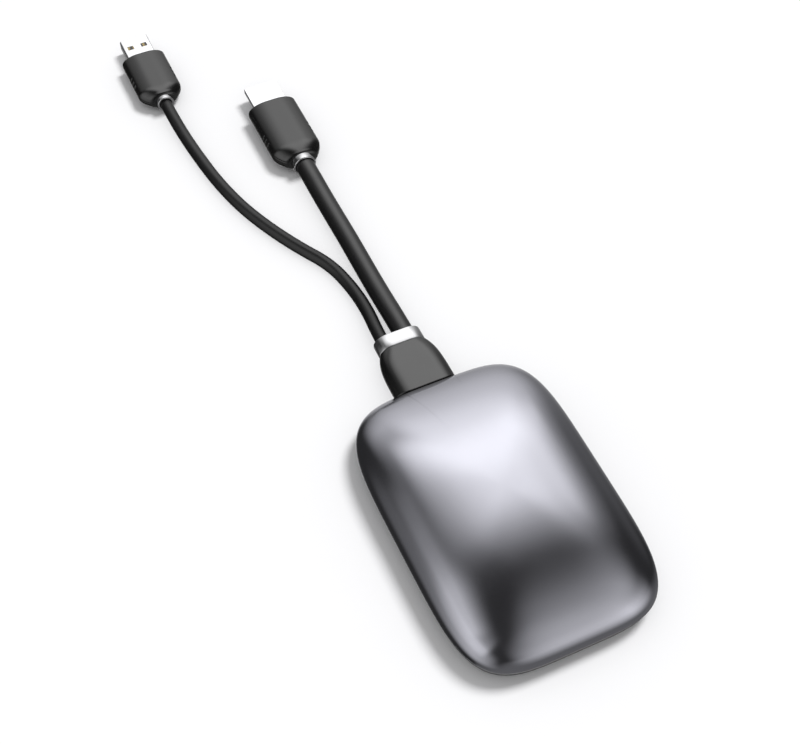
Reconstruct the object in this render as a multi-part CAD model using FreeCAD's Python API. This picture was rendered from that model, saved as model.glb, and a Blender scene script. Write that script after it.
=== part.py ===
import FreeCAD, Part
import os
from math import cos, pi, sin, sqrt, tan

# Wireless presentation button with two captive leads, in millimetres.
# Origin on the table under the casing's middle, +X right, +Y towards the leads, +Z up.

Vector = FreeCAD.Vector

# Casing outline: a superellipse, so that sides, corners and ends flow into each other
casing_width = 75.0
casing_length = 110.5
casing_height = 22.0
outline_power = 4.5
outline_points = 72

# Clearances
running_fit = 0.06
loose_fit = 0.3
part_gap = 0.15
thread_fit = 0.02

# Heights of the stack, from the table up
foot_height = 0.8
base_floor = 1.6
base_rim_height = 3.2
ring_height = 1.2
press_travel = 0.6
press_gap_spare = 0.4

# Top cover: a dome whose level lines are the outline drawn smaller
dome_plan_power = 2.4
dome_rise_power = 2.3
dome_sections = 12
dome_cap_scale = 0.06
cover_wall = 1.8

# Base tray under it, with a rounded lower edge
base_inset = 0.6
base_edge_run = 4.0
base_edge_sections = 6
boss_root = 0.8

# Inner lid over the electronics
lid_wall = 1.4
lid_side_room = 0.6
lid_headroom = 2.7
rim_step = 0.2
lid_boss_radius = 2.8
base_boss_radius = 3.5
lid_side_screw_inset = 7.7
lid_side_screw_y = 4.0
lid_front_screw_inset = 6.65
lid_front_screw_x = 12.0

# Guide posts, return springs and shoulder screws that let the cover float
post_edge_distance = 6.5
post_end_distance = 33.25
post_collar_radius = 4.5
post_collar_rise = 3.4
post_sleeve_radius = 3.3
post_sleeve_spare = 0.6
cover_boss_radius = 4.5
spring_length = 5.0
spring_wire = 0.7
spring_mean_radius = 3.95
spring_turns = 3
spring_end_gap = 0.02
shoulder_radius = 1.8
shoulder_head_radius = 3.0
shoulder_head_height = 1.6
shoulder_thread_radius = 1.3
shoulder_thread_length = 4.5
guide_seat_height = 1.0

# Press switch on the board, under the cover's press post
switch_y = -12.0
switch_size = 6.2
switch_height = 3.4
plunger_radius = 1.6
plunger_flange_radius = 2.2
plunger_flange_height = 0.5
plunger_proud = 1.2
plunger_gap = 0.1
press_post_radius = 3.0
press_post_opening = 1.5

# Main board
board_side_room = 11.0
board_front_room = 10.25
board_back_room = 22.25
board_corner = 12.0
board_thickness = 1.2
board_lift = 2.0
board_boss_radius = 2.5
board_side_screw_edge = 4.5
board_side_screw_gap = 2.5
board_back_screw_x = 16.0
board_back_screw_edge = 3.5

# Processor, its heat sink and the memory beside it
chip_size = 15.0
chip_height = 1.3
pad_height = 0.5
sink_size = 24.0
sink_base = 1.5
sink_height = 5.0
sink_fins = 7
sink_fin_width = 1.2
sink_gap_to_headers = 0.5
memory_gap_to_leds = 3.0
memory_setback = 0.5
memory_width = 8.0
memory_length = 12.0
memory_height = 1.0

# Radio board under its shield can, and the antennas at the front corners
radio_front_room = 9.0
radio_width = 22.0
radio_length = 15.0
radio_height = 0.8
can_width = 16.0
can_length = 12.0
can_height = 2.0
can_wall = 0.25
antenna_edge = 7.0
antenna_front_room = 7.5
antenna_length = 9.0
antenna_width = 3.0
antenna_height = 3.2
antenna_sheet = 0.4

# Status lights along the board's sides, and the small parts round the switch
led_edge = 2.1
led_front_room = 14.0
led_setback = 1.0
led_width = 1.6
led_length = 3.0
led_height = 0.9
small_part_count = 4
small_part_pitch = 4.0
capacitor_size = 2.4
capacitor_depth = 1.6
capacitor_height = 1.6
capacitor_offset = 7.0
resistor_length = 1.6
resistor_width = 0.8
resistor_height = 0.5
resistor_offset = 6.5
inductor_size = 5.0
inductor_height = 2.4
inductor_x = 12.0

# Small fasteners
small_screw_radius = 1.0
small_head_radius = 1.9
small_head_height = 1.2
clamp_head_height = 0.9
blind_floor = 0.8
case_screw_length = 6.0
case_head_radius = 2.2
case_head_height = 1.3
drive_radius = 0.8
drive_depth = 0.6
screw_seat = 1.4

# Rubber feet
foot_radius = 6.0
foot_side_inset = 14.5
foot_end_inset = 17.25
foot_recess = 0.6
foot_edge = 0.4

# Strain relief where both leads leave the casing
boot_x = -1.6
boot_axis_z = 5.6
boot_root_width = 23.3
boot_root_height = 9.4
boot_tip_width = 18.2
boot_tip_height = 9.0
boot_taper_power = 4.4
boot_sections = 9
mould_edge_share = 0.44
boot_neck_width = 20.0
boot_neck_low = 2.6
boot_neck_high = 9.0
boot_flange_width = 25.0
boot_flange_length = 2.5
boot_reach_in = 7.75

# Clamp over the inner leads
clamp_length = 5.0
clamp_width = 31.0
clamp_height = 3.3
clamp_gap_to_boot = 1.0
clamp_screw_inset = 2.6
clamp_split = 0.2

# Leads inside the casing and their headers on the board
video_lead_radius = 2.3
data_lead_radius = 1.6
lead_rise = 0.2
lead_climb = 2.3
lead_turn = 2.7
lead_board_gap = 1.0
video_header_width = 12.0
video_header_shift = 2.4
data_header_width = 7.0
data_header_shift = -0.6
header_length = 6.0
header_height = 4.9
header_edge = 3.5

# Plugs: overmoulds with a narrow rear and grip grooves in both sides
video_plug_width = 20.4
video_plug_height = 9.6
video_plug_length = 34.0
video_shoulder = 7.5
video_rear_width = 12.5
data_plug_width = 18.4
data_plug_height = 8.6
data_plug_length = 28.0
data_shoulder = 6.5
data_rear_width = 10.0
plug_sections = 5
plug_rear_height_share = 0.86
grip_count = 3
grip_depth = 0.4
grip_width = 1.0
grip_pitch = 2.4
grip_start = 4.0
grip_height_share = 0.5

# Metal shell, insulator and contacts of the video plug
video_shell_width = 13.9
video_shell_height = 4.45
video_shell_length = 12.5
video_shell_wall = 0.35
video_shell_bevel = 1.5
video_window_width = 1.6
video_window_length = 4.0
video_window_offset = 3.4
video_window_start = 4.2
video_slot_width = 11.6
video_slot_height = 1.9
video_slot_depth = 7.5
video_insulator_setback = 2.5
video_upper_contacts = 10
video_lower_contacts = 9
video_contact_pitch = 1.0
video_contact_width = 0.45

# Metal shell, tongue and contacts of the data plug
data_shell_width = 12.0
data_shell_height = 4.5
data_shell_length = 12.0
data_shell_wall = 0.3
data_window_width = 2.5
data_window_length = 2.2
data_window_offset = 2.9
data_window_from_front = 4.6
data_tongue_height = 1.85
data_tongue_side_room = 0.3
data_tongue_setback = 0.6
data_contacts = 4
data_contact_pitch = 2.2
data_contact_width = 0.9
contact_height = 0.12
contact_length = 6.5
contact_setback = 0.3

# Free leads: points chosen along the route, with square ends. A lead lies a little above the table.
video_radius = 3.9
data_radius = 2.5
table_gap = 0.1
corner_share = 0.45
data_exit_drop = 0.4
video_lying = video_radius + table_gap
data_lying = data_radius + table_gap
video_axis = video_plug_height / 2
data_axis = data_plug_height / 2
lead_start_y = 75.4
video_route = (
    (1.8, lead_start_y, boot_axis_z), (1.8, 89.5, boot_axis_z), (1.9, 104.0, video_lying + 0.2),
    (2.0, 119.0, video_lying), (2.1, 134.5, video_lying), (1.9, 149.5, video_lying),
    (1.8, 160.5, video_lying + 0.2), (1.7, 169.5, video_axis), (1.7, 178.5, video_axis))
data_route = (
    (-6.7, lead_start_y, boot_axis_z - data_exit_drop), (-6.7, 86.0, boot_axis_z - data_exit_drop),
    (-5.4, 97.5, data_lying + 1.1), (-5.6, 110.0, data_lying + 0.1), (-8.6, 125.2, data_lying),
    (-16.6, 138.8, data_lying), (-23.5, 153.2, data_lying), (-29.0, 168.0, data_lying),
    (-32.7, 184.0, data_lying), (-34.9, 201.0, data_lying), (-36.2, 214.5, data_lying + 0.4),
    (-37.0, 226.0, data_axis), (-37.0, 235.0, data_axis))

# Bright collars on the leads
boot_collar_length = 5.6
video_collar_radius = 4.7
video_collar_length = 3.0
data_collar_radius = 3.6
data_collar_length = 2.2
collar_edge = 0.3

# Levels and places that follow from the values above
half_width = casing_width / 2
half_length = casing_length / 2
lid_inset = cover_wall + lid_side_room
ring_width = lid_inset - base_inset - part_gap
base_rim_width = lid_inset + lid_wall - base_inset - rim_step
base_low = foot_height
floor_top = base_low + base_floor
rim_top = base_low + base_rim_height
ring_top = rim_top + ring_height
cover_low = ring_top + press_travel + press_gap_spare
lid_top = casing_height - cover_wall - lid_headroom
board_low = floor_top + board_lift
board_top = board_low + board_thickness
board_width = casing_width - 2 * board_side_room
board_front = board_front_room - half_length
board_back = half_length - board_back_room
header_back = board_back - header_edge
chip_y = header_back - header_length - sink_gap_to_headers - sink_size / 2
led_x = board_width / 2 - led_edge
led_rows = (board_front + led_front_room, switch_y, chip_y - led_setback)
memory_x = led_x - led_width / 2 - memory_gap_to_leds - memory_width / 2
memory_y = chip_y - memory_setback
post_x = board_width / 2 - post_edge_distance
post_y = half_length - post_end_distance
lid_side_screw_x = half_width - lid_side_screw_inset
lid_front_screw_y = lid_front_screw_inset - half_length
board_side_screw_x = board_width / 2 - board_side_screw_edge
board_side_screw_y = memory_y - memory_length / 2 - board_side_screw_gap
board_back_screw_y = board_back - board_back_screw_edge
antenna_x = board_width / 2 - antenna_edge
antenna_y = board_front + antenna_front_room
foot_x = half_width - foot_side_inset
foot_y = half_length - foot_end_inset
guide_seat = floor_top + guide_seat_height
collar_top = floor_top + post_collar_rise
cover_boss_low = collar_top + spring_length
sleeve_top = cover_boss_low - press_travel - post_sleeve_spare
plunger_low = board_top + switch_height - 2 * plunger_flange_height
plunger_top = board_top + switch_height + plunger_proud
chip_top = board_top + chip_height
radio_y = board_front + radio_front_room
boot_root = half_length + loose_fit
boot_inner_face = half_length - boot_reach_in
clamp_back = boot_inner_face - clamp_gap_to_boot
clamp_front = clamp_back - clamp_length
clamp_middle = (clamp_front + clamp_back) / 2
clamp_low = boot_axis_z + lead_rise + clamp_split / 2
lead_low = boot_axis_z + lead_rise
lead_high = lead_low + lead_climb
video_end = Vector(*video_route[-1])
data_end = Vector(*data_route[-1])
video_front = video_end.y + video_plug_length
data_front = data_end.y + data_plug_length
tongue_low = data_end.z - data_shell_height / 2 + data_shell_wall + thread_fit


# Helpers

def outline_point(angle, wide, long, z):
    """Point of the superellipse |x/wide|^p + |y/long|^p = 1 in a direction from its middle."""
    total = abs(cos(angle) / wide) ** outline_power + abs(sin(angle) / long) ** outline_power
    reach = total ** (-1 / outline_power)
    return Vector(reach * cos(angle), reach * sin(angle), z)


def outline_wire(wide, long, z):
    angles = [2 * pi * step / outline_points for step in range(outline_points)]
    curve = Part.BSplineCurve()
    curve.interpolate(Points=[outline_point(angle, wide, long, z) for angle in angles], PeriodicFlag=True)
    return Part.Wire(curve.toShape())


def outline_prism(wide, long, low, high):
    return Part.Face(outline_wire(wide, long, low)).extrude(Vector(0, 0, high - low))


def dome(wide, long, low, high):
    """Solid dome: level lines are the outline scaled by s, with s^a + ((z - low)/rise)^b = 1."""
    last = pi / 2 - dome_cap_scale ** (dome_plan_power / 2)
    wires = []
    for step in range(dome_sections + 1):
        turn = last * step / dome_sections
        scale = cos(turn) ** (2 / dome_plan_power)
        z = low + (high - low) * sin(turn) ** (2 / dome_rise_power)
        wires.append(outline_wire(wide * scale, long * scale, z))
    return Part.makeLoft(wires, True, False)


def cylinder(radius, low, high, x=0.0, y=0.0):
    return Part.makeCylinder(radius, high - low, Vector(x, y, low))


def lying_cylinder(radius, front, back, x, z):
    return Part.makeCylinder(radius, back - front, Vector(x, front, z), Vector(0, 1, 0))


def block(width, length, low, high, x=0.0, y=0.0):
    return Part.makeBox(width, length, high - low, Vector(x - width / 2, y - length / 2, low))


def span(width, front, back, low, high, x):
    """Block given by its front and back faces."""
    return block(width, back - front, low, high, x, (front + back) / 2)


def mirrored(x, y):
    return [(x, y), (-x, y)]


def posts():
    return mirrored(post_x, post_y) + mirrored(post_x, -post_y)


def lid_screws():
    return mirrored(lid_side_screw_x, lid_side_screw_y) + mirrored(lid_front_screw_x, lid_front_screw_y)


def board_screw_places():
    return mirrored(board_side_screw_x, board_side_screw_y) + mirrored(board_back_screw_x, board_back_screw_y)


def clamp_screw_places():
    reach = clamp_width / 2 - clamp_screw_inset
    return [(boot_x - reach, clamp_middle), (boot_x + reach, clamp_middle)]


def foot_places():
    return mirrored(foot_x, foot_y) + mirrored(foot_x, -foot_y)


def rounded_section(width, height, edge, x, y, z):
    """Closed wire of lines and quarter arcs in the XZ plane at y, centred on x and z."""
    arcs = []
    for quarter in range(4):
        middle = (quarter + 0.5) * pi / 2
        side_x = 1 if cos(middle) > 0 else -1
        side_z = 1 if sin(middle) > 0 else -1
        centre = Vector(x + side_x * (width / 2 - edge), y, z + side_z * (height / 2 - edge))
        angles = (middle - pi / 4, middle, middle + pi / 4)
        points = [centre + Vector(edge * cos(angle), 0, edge * sin(angle)) for angle in angles]
        arcs.append(Part.Arc(*points).toShape())
    edges = []
    for arc, following in zip(arcs, arcs[1:] + arcs[:1]):
        edges.append(arc)
        ends = (arc.valueAt(arc.LastParameter), following.valueAt(following.FirstParameter))
        edges.append(Part.LineSegment(*ends).toShape())
    return Part.Wire(edges)


def mould_section(width, height, x, y, z):
    """Section of an overmould, whose edges take most of its height."""
    return rounded_section(width, height, height * mould_edge_share, x, y, z)


def tangent_arc(start, direction, end):
    """Arc that leaves start along direction and reaches end."""
    chord = end - start
    turn = direction.getAngle(chord)
    along = Vector(chord).normalize()
    side = (direction - along * direction.dot(along)).normalize()
    middle = start + chord / 2 + side * (chord.Length / 2 * tan(turn / 2))
    return Part.Arc(start, middle, end).toShape()


def cord(name, route, radius):
    """Tube along straight runs joined by the largest tangent arcs that corner_share allows."""
    points = [Vector(*point) for point in route]
    edges = []
    bends = []
    last = points[0]
    for before, corner, after in zip(points, points[1:], points[2:]):
        come = corner - before
        leave = after - corner
        reach = corner_share * min(come.Length, leave.Length)
        bends.append(reach / tan(come.getAngle(leave) / 2))
        come.normalize()
        leave.normalize()
        start = corner - come * reach
        end = corner + leave * reach
        edges.append(Part.LineSegment(last, start).toShape())
        edges.append(tangent_arc(start, come, end))
        last = end
    edges.append(Part.LineSegment(last, points[-1]).toShape())
    path = Part.Wire(edges)
    section = Part.Wire(Part.Circle(points[0], points[1] - points[0], radius).toShape())
    tube = path.makePipeShell([section], True, False)
    ratio = tube.Volume / (pi * radius ** 2 * path.Length)
    least = min(bends)
    print(f"{name}: length {path.Length:.1f}, least bend {least:.1f} ({least / radius / 2:.1f} diameters), "
          f"volume ratio {ratio:.4f}, lowest {tube.BoundBox.ZMin:.2f}")
    return tube


def screw(place, head_low, head_high, head_radius, tip, radius):
    """Screw with a straight shank to the tip's level and a drive recess in the head's outer face."""
    head = cylinder(head_radius, head_low, head_high, *place)
    if tip > head_high:
        shank = cylinder(radius, head_high, tip, *place)
        recess = cylinder(drive_radius, head_low, head_low + drive_depth, *place)
    else:
        shank = cylinder(radius, tip, head_low, *place)
        recess = cylinder(drive_radius, head_high - drive_depth, head_high, *place)
    return head.fuse(shank).cut(recess)


def neck_slot(clearance, front, high):
    """Space that the strain relief's neck needs through the walls of the casing."""
    return span(boot_neck_width + 2 * clearance, front, half_length + boot_flange_length,
                boot_neck_low - clearance, high, boot_x)


def lead_channels(clearance):
    """Space that both inner leads need through the clamp and its saddle."""
    front = clamp_front - loose_fit
    return [
        lying_cylinder(video_lead_radius + clearance, front, boot_inner_face, video_route[0][0], lead_low),
        lying_cylinder(data_lead_radius + clearance, front, boot_inner_face, data_route[0][0], lead_low)]


# Casing

def base_tray():
    wide = half_width - base_inset
    long = half_length - base_inset
    wires = []
    for step in range(base_edge_sections + 1):
        turn = pi / 2 * step / base_edge_sections
        inset = base_edge_run * (1 - sin(turn))
        z = base_low + base_rim_height * (1 - cos(turn))
        wires.append(outline_wire(wide - inset, long - inset, z))
    room = outline_prism(wide - base_rim_width, long - base_rim_width, floor_top, rim_top + loose_fit)
    return Part.makeLoft(wires, True, False).cut(room)


def base_shell():
    root = floor_top - boss_root
    adds = []
    cuts = []
    for place in posts():
        adds.append(cylinder(post_collar_radius, root, collar_top, *place))
        adds.append(cylinder(post_sleeve_radius, collar_top, sleeve_top, *place))
        cuts.append(cylinder(shoulder_radius + running_fit, base_low, sleeve_top, *place))
        cuts.append(cylinder(shoulder_head_radius + loose_fit, base_low, guide_seat, *place))
    for place in lid_screws():
        adds.append(cylinder(base_boss_radius, root, rim_top, *place))
        cuts.append(cylinder(small_screw_radius + part_gap, base_low, rim_top, *place))
        cuts.append(cylinder(case_head_radius + loose_fit, base_low, rim_top - screw_seat, *place))
    for place in board_screw_places():
        adds.append(cylinder(board_boss_radius, root, board_low, *place))
        cuts.append(cylinder(small_screw_radius + thread_fit, base_low + blind_floor, board_low, *place))
    adds.append(span(clamp_width, clamp_front, clamp_back, root, clamp_low - clamp_split, boot_x))
    for place in clamp_screw_places():
        cuts.append(cylinder(small_screw_radius + thread_fit, floor_top, clamp_low, *place))
    for place in foot_places():
        cuts.append(cylinder(foot_radius + part_gap, base_low, base_low + foot_recess, *place))
    cuts.append(neck_slot(part_gap, boot_inner_face, rim_top + loose_fit))
    cuts += lead_channels(part_gap)
    return base_tray().fuse(adds).cut(cuts)


def rubber_feet():
    feet = []
    for place in foot_places():
        foot = cylinder(foot_radius, 0, base_low + foot_recess, *place)
        lower_edge = [edge for edge in foot.Edges if edge.BoundBox.ZMax < foot_edge]
        feet.append(foot.makeFillet(foot_edge, lower_edge))
    return Part.makeCompound(feet)


def light_ring():
    wide = half_width - base_inset
    long = half_length - base_inset
    ring = outline_prism(wide, long, rim_top, ring_top)
    room = outline_prism(wide - ring_width, long - ring_width, rim_top, ring_top)
    return ring.cut([room, neck_slot(part_gap, boot_inner_face, ring_top + loose_fit)])


def inner_lid():
    wide = half_width - lid_inset
    long = half_length - lid_inset
    outer = dome(wide, long, rim_top, lid_top)
    inner = dome(wide - lid_wall, long - lid_wall, rim_top, lid_top - lid_wall)
    bosses = []
    cuts = []
    for place in lid_screws():
        bosses.append(cylinder(lid_boss_radius, rim_top, lid_top, *place).common(outer))
        hole_top = rim_top - screw_seat + case_screw_length + loose_fit
        cuts.append(cylinder(small_screw_radius + thread_fit, rim_top, hole_top, *place))
    for place in posts():
        cuts.append(cylinder(cover_boss_radius + 2 * loose_fit, rim_top, lid_top, *place))
    cuts.append(cylinder(press_post_radius + press_post_opening, rim_top, lid_top, 0, switch_y))
    cuts.append(span(boot_flange_width + 2 * loose_fit, boot_inner_face - loose_fit, half_length, rim_top,
                     boot_neck_high + loose_fit, boot_x))
    return outer.cut(inner).fuse(bosses).cut(cuts)


def top_cover():
    outer = dome(half_width, half_length, cover_low, casing_height)
    inner = dome(half_width - cover_wall, half_length - cover_wall, cover_low, casing_height - cover_wall)
    press_post = cylinder(press_post_radius, plunger_top + plunger_gap, casing_height, 0, switch_y)
    bosses = [press_post.common(outer)]
    cuts = []
    for place in posts():
        bosses.append(cylinder(cover_boss_radius, cover_boss_low, casing_height, *place).common(outer))
        hole_top = cover_boss_low + shoulder_thread_length + loose_fit
        cuts.append(cylinder(shoulder_thread_radius + thread_fit, cover_boss_low, hole_top, *place))
    cuts.append(neck_slot(loose_fit, boot_inner_face, boot_neck_high + press_travel + loose_fit))
    return outer.cut(inner).fuse(bosses).cut(cuts)


def shoulder_screws():
    screws = []
    for place in posts():
        body = screw(place, guide_seat - shoulder_head_height, guide_seat, shoulder_head_radius,
                     cover_boss_low, shoulder_radius)
        thread = cylinder(shoulder_thread_radius, cover_boss_low, cover_boss_low + shoulder_thread_length,
                          *place)
        screws.append(body.fuse(thread))
    return Part.makeCompound(screws)


def case_screws():
    seat = rim_top - screw_seat
    return Part.makeCompound([
        screw(place, seat - case_head_height, seat, case_head_radius, seat + case_screw_length,
              small_screw_radius)
        for place in lid_screws()])


def spring_ends(x, y):
    """Points and directions along a helix at every quarter turn, between the spring's end levels."""
    low = collar_top + spring_wire / 2 + spring_end_gap
    high = cover_boss_low - spring_wire / 2 - spring_end_gap
    quarters = spring_turns * 4
    climb = (high - low) / quarters
    ends = []
    for step in range(quarters + 1):
        turn = step * pi / 2
        across = Vector(cos(turn), sin(turn), 0) * spring_mean_radius
        along = Vector(-sin(turn), cos(turn), 0) * spring_mean_radius
        slope = Vector(along.x, along.y, climb / (pi / 2))
        ends.append((Vector(x, y, low + climb * step) + across, slope.normalize()))
    return ends


def spring(x, y):
    """Wire tube in which each quarter turn is drawn as two arcs that share a tangent."""
    ends = spring_ends(x, y)
    edges = []
    for (start, out), (end, into) in zip(ends, ends[1:]):
        chord = end - start
        both = out + into
        bend = 2 * (1 - out.dot(into))
        reach = (sqrt(chord.dot(both) ** 2 + bend * chord.dot(chord)) - chord.dot(both)) / bend
        middle = (start + out * reach + end - into * reach) / 2
        back = tangent_arc(end, into * -1, middle)
        halfway = back.valueAt((back.FirstParameter + back.LastParameter) / 2)
        edges.append(tangent_arc(start, out, middle))
        edges.append(Part.Arc(middle, halfway, end).toShape())
    section = Part.Wire(Part.Circle(*ends[0], spring_wire / 2).toShape())
    return Part.Wire(edges).makePipeShell([section], True, False)


def return_springs():
    pitch = (spring_length - spring_wire - 2 * spring_end_gap) / spring_turns
    pressed_pitch = pitch - press_travel / spring_turns
    print(f"return springs: least gap between turns {pitch - spring_wire:.2f}, "
          f"pressed {pressed_pitch - spring_wire:.2f}")
    return Part.makeCompound([spring(*place) for place in posts()])


# Press switch

def switch_body():
    high = board_top + switch_height
    roof_low = high - plunger_flange_height
    body = block(switch_size, switch_size, board_top, high, 0, switch_y)
    cavity = cylinder(plunger_flange_radius + running_fit, plunger_low - press_travel - loose_fit, roof_low,
                      0, switch_y)
    hole = cylinder(plunger_radius + running_fit, roof_low, high, 0, switch_y)
    return body.cut([cavity, hole])


def switch_plunger():
    flange_top = plunger_low + plunger_flange_height
    flange = cylinder(plunger_flange_radius, plunger_low, flange_top, 0, switch_y)
    stem = cylinder(plunger_radius, flange_top, plunger_top, 0, switch_y)
    return flange.fuse(stem)


# Board and electronics

def main_board():
    board = span(board_width, board_front, board_back, board_low, board_top, 0)
    upright = [edge for edge in board.Edges if edge.BoundBox.ZLength > board_thickness / 2]
    board = board.makeFillet(board_corner, upright)
    holes = [cylinder(post_collar_radius + loose_fit, board_low, board_top, *place) for place in posts()]
    holes += [cylinder(small_screw_radius + part_gap, board_low, board_top, *place)
              for place in board_screw_places()]
    return board.cut(holes)


def board_screws():
    return Part.makeCompound([
        screw(place, board_top, board_top + small_head_height, small_head_radius,
              base_low + blind_floor + part_gap, small_screw_radius)
        for place in board_screw_places()])


def processor_chip():
    return block(chip_size, chip_size, board_top, chip_top, 0, chip_y)


def thermal_pad():
    return block(chip_size, chip_size, chip_top, chip_top + pad_height, 0, chip_y)


def heat_sink():
    low = chip_top + pad_height
    sink = block(sink_size, sink_size, low, low + sink_base, 0, chip_y)
    pitch = (sink_size - sink_fin_width) / (sink_fins - 1)
    fins = []
    for count in range(sink_fins):
        x = pitch * (count - (sink_fins - 1) / 2)
        fins.append(block(sink_fin_width, sink_size, low, low + sink_height, x, chip_y))
    return sink.fuse(fins).removeSplitter()


def memory_chips():
    high = board_top + memory_height
    return Part.makeCompound([
        block(memory_width, memory_length, board_top, high, *place)
        for place in mirrored(memory_x, memory_y)])


def radio_board():
    return block(radio_width, radio_length, board_top, board_top + radio_height, 0, radio_y)


def radio_shield():
    low = board_top + radio_height
    high = low + can_height
    can = block(can_width, can_length, low, high, 0, radio_y)
    room = block(can_width - 2 * can_wall, can_length - 2 * can_wall, low, high - can_wall, 0, radio_y)
    return can.cut(room)


def antennas():
    high = board_top + antenna_height
    blades = []
    for place in mirrored(antenna_x, antenna_y):
        outer = block(antenna_length, antenna_width, board_top, high, *place)
        room = block(antenna_length - 2 * antenna_sheet, antenna_width, board_top, high - antenna_sheet,
                     *place)
        blades.append(outer.cut(room))
    return Part.makeCompound(blades)


def status_leds():
    high = board_top + led_height
    return Part.makeCompound([
        block(led_width, led_length, board_top, high, *place)
        for y in led_rows for place in mirrored(led_x, y)])


def board_parts():
    """Capacitors behind the switch, resistors in front of it and an inductor on either side."""
    parts = []
    for count in range(small_part_count):
        x = small_part_pitch * (count - (small_part_count - 1) / 2)
        parts.append(block(capacitor_size, capacitor_depth, board_top, board_top + capacitor_height, x,
                           switch_y + capacitor_offset))
        parts.append(block(resistor_length, resistor_width, board_top, board_top + resistor_height, x,
                           switch_y - resistor_offset))
    for place in mirrored(inductor_x, switch_y):
        parts.append(block(inductor_size, inductor_size, board_top, board_top + inductor_height, *place))
    return Part.makeCompound(parts)


# Leads inside the casing

def header(width, shift, route):
    x = route[0][0] + shift
    return span(width, header_back - header_length, header_back, board_top, board_top + header_height, x)


def inner_lead(name, route, radius):
    """Lead from the boot through the clamp, then up over the board's edge into its header."""
    x = route[0][0]
    points = (
        (x, boot_inner_face, lead_low), (x, clamp_front - lead_turn, lead_low),
        (x, board_back + lead_board_gap, lead_high), (x, header_back, lead_high))
    return cord(name, points, radius)


def lead_clamp():
    high = clamp_low + clamp_height
    bar = span(clamp_width, clamp_front, clamp_back, clamp_low, high, boot_x)
    holes = [cylinder(small_screw_radius + part_gap, clamp_low, high, *place)
             for place in clamp_screw_places()]
    return bar.cut(holes + lead_channels(thread_fit))


def clamp_screws():
    seat = clamp_low + clamp_height
    return Part.makeCompound([
        screw(place, seat, seat + clamp_head_height, small_head_radius, floor_top + thread_fit,
              small_screw_radius)
        for place in clamp_screw_places()])


# Strain relief and collars

def lead_boot():
    """Boot that narrows more and more, with a neck and flange inside the casing."""
    wires = []
    for step in range(boot_sections):
        share = step / (boot_sections - 1)
        taper = share ** boot_taper_power
        wires.append(mould_section(
            boot_root_width + (boot_tip_width - boot_root_width) * taper,
            boot_root_height + (boot_tip_height - boot_root_height) * taper,
            boot_x, boot_root + (lead_start_y - boot_root) * share, boot_axis_z))
    neck = span(boot_neck_width, boot_inner_face, boot_root, boot_neck_low, boot_neck_high, boot_x)
    flange = span(boot_flange_width, boot_inner_face, boot_inner_face + boot_flange_length,
                  floor_top + thread_fit, boot_neck_high, boot_x)
    return Part.makeLoft(wires, True, False).fuse([neck, flange])


def collar(end, front, back, radius, bore):
    """Ring round a lead, with eased rims."""
    ring = lying_cylinder(radius, front, back, end.x, end.z)
    ring = ring.makeFillet(collar_edge, [edge for edge in ring.Edges if edge.Closed])
    return ring.cut(lying_cylinder(bore + thread_fit, front, back, end.x, end.z))


def boot_collar():
    """Band with the section of the boot's tip, drilled for both leads."""
    tip = mould_section(boot_tip_width, boot_tip_height, boot_x, lead_start_y, boot_axis_z)
    band = Part.Face(tip).extrude(Vector(0, boot_collar_length, 0))
    band = band.makeFillet(collar_edge, [edge for edge in band.Edges if edge.BoundBox.YLength < collar_edge])
    bores = []
    for route, radius in ((video_route, video_radius), (data_route, data_radius)):
        x, y, z = route[0]
        bores.append(lying_cylinder(radius + thread_fit, y, y + boot_collar_length, x, z))
    return band.cut(bores)


def video_collar():
    return collar(video_end, video_end.y - video_collar_length, video_end.y, video_collar_radius,
                  video_radius)


def data_collar():
    return collar(data_end, data_end.y - data_collar_length, data_end.y, data_collar_radius, data_radius)


# Plugs

def plug_body(end, width, height, length, shoulder, rear_width):
    """Overmould: narrow at the lead, sweeping out to full width, with grip grooves in both sides."""
    wires = []
    for step in range(plug_sections):
        share = step / (plug_sections - 1)
        swell = sin(share * pi / 2)
        wires.append(mould_section(
            rear_width + (width - rear_width) * swell,
            height * (plug_rear_height_share + (1 - plug_rear_height_share) * swell),
            end.x, end.y + shoulder * share, end.z))
    rear = Part.makeLoft(wires, True, False)
    section = Part.Face(mould_section(width, height, end.x, end.y + shoulder, end.z))
    front = section.extrude(Vector(0, length - shoulder, 0))
    reach = height * grip_height_share / 2
    grips = []
    for count in range(grip_count):
        y = end.y + shoulder + grip_start + grip_pitch * count
        for side in (-1, 1):
            grips.append(span(2 * grip_depth, y, y + grip_width, end.z - reach, end.z + reach,
                              end.x + side * width / 2))
    return rear.fuse(front).cut(grips)


def video_prism(inset, length):
    """Prism with the video plug's outline, whose lower corners are cut off, from the overmould's face."""
    wide = video_shell_width / 2 - inset
    high = video_shell_height / 2 - inset
    corners = ((-wide, high), (wide, high), (wide, 0), (wide - video_shell_bevel, -high),
               (video_shell_bevel - wide, -high), (-wide, 0))
    points = [Vector(video_end.x + x, video_front, video_end.z + z) for x, z in corners]
    return Part.Face(Part.makePolygon(points + points[:1])).extrude(Vector(0, length, 0))


def video_plug_shell():
    """Shell with two latch windows in its lower face."""
    room = video_prism(video_shell_wall, video_shell_length)
    front = video_front + video_window_start
    windows = []
    for side in (-1, 1):
        windows.append(span(video_window_width, front, front + video_window_length,
                            video_end.z - video_shell_height, video_end.z,
                            video_end.x + side * video_window_offset))
    return video_prism(0, video_shell_length).cut([room] + windows)


def video_plug_insulator():
    length = video_shell_length - video_insulator_setback
    slot = span(video_slot_width, video_front + length - video_slot_depth, video_front + length,
                video_end.z - video_slot_height / 2, video_end.z + video_slot_height / 2, video_end.x)
    return video_prism(video_shell_wall + thread_fit, length).cut(slot)


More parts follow.
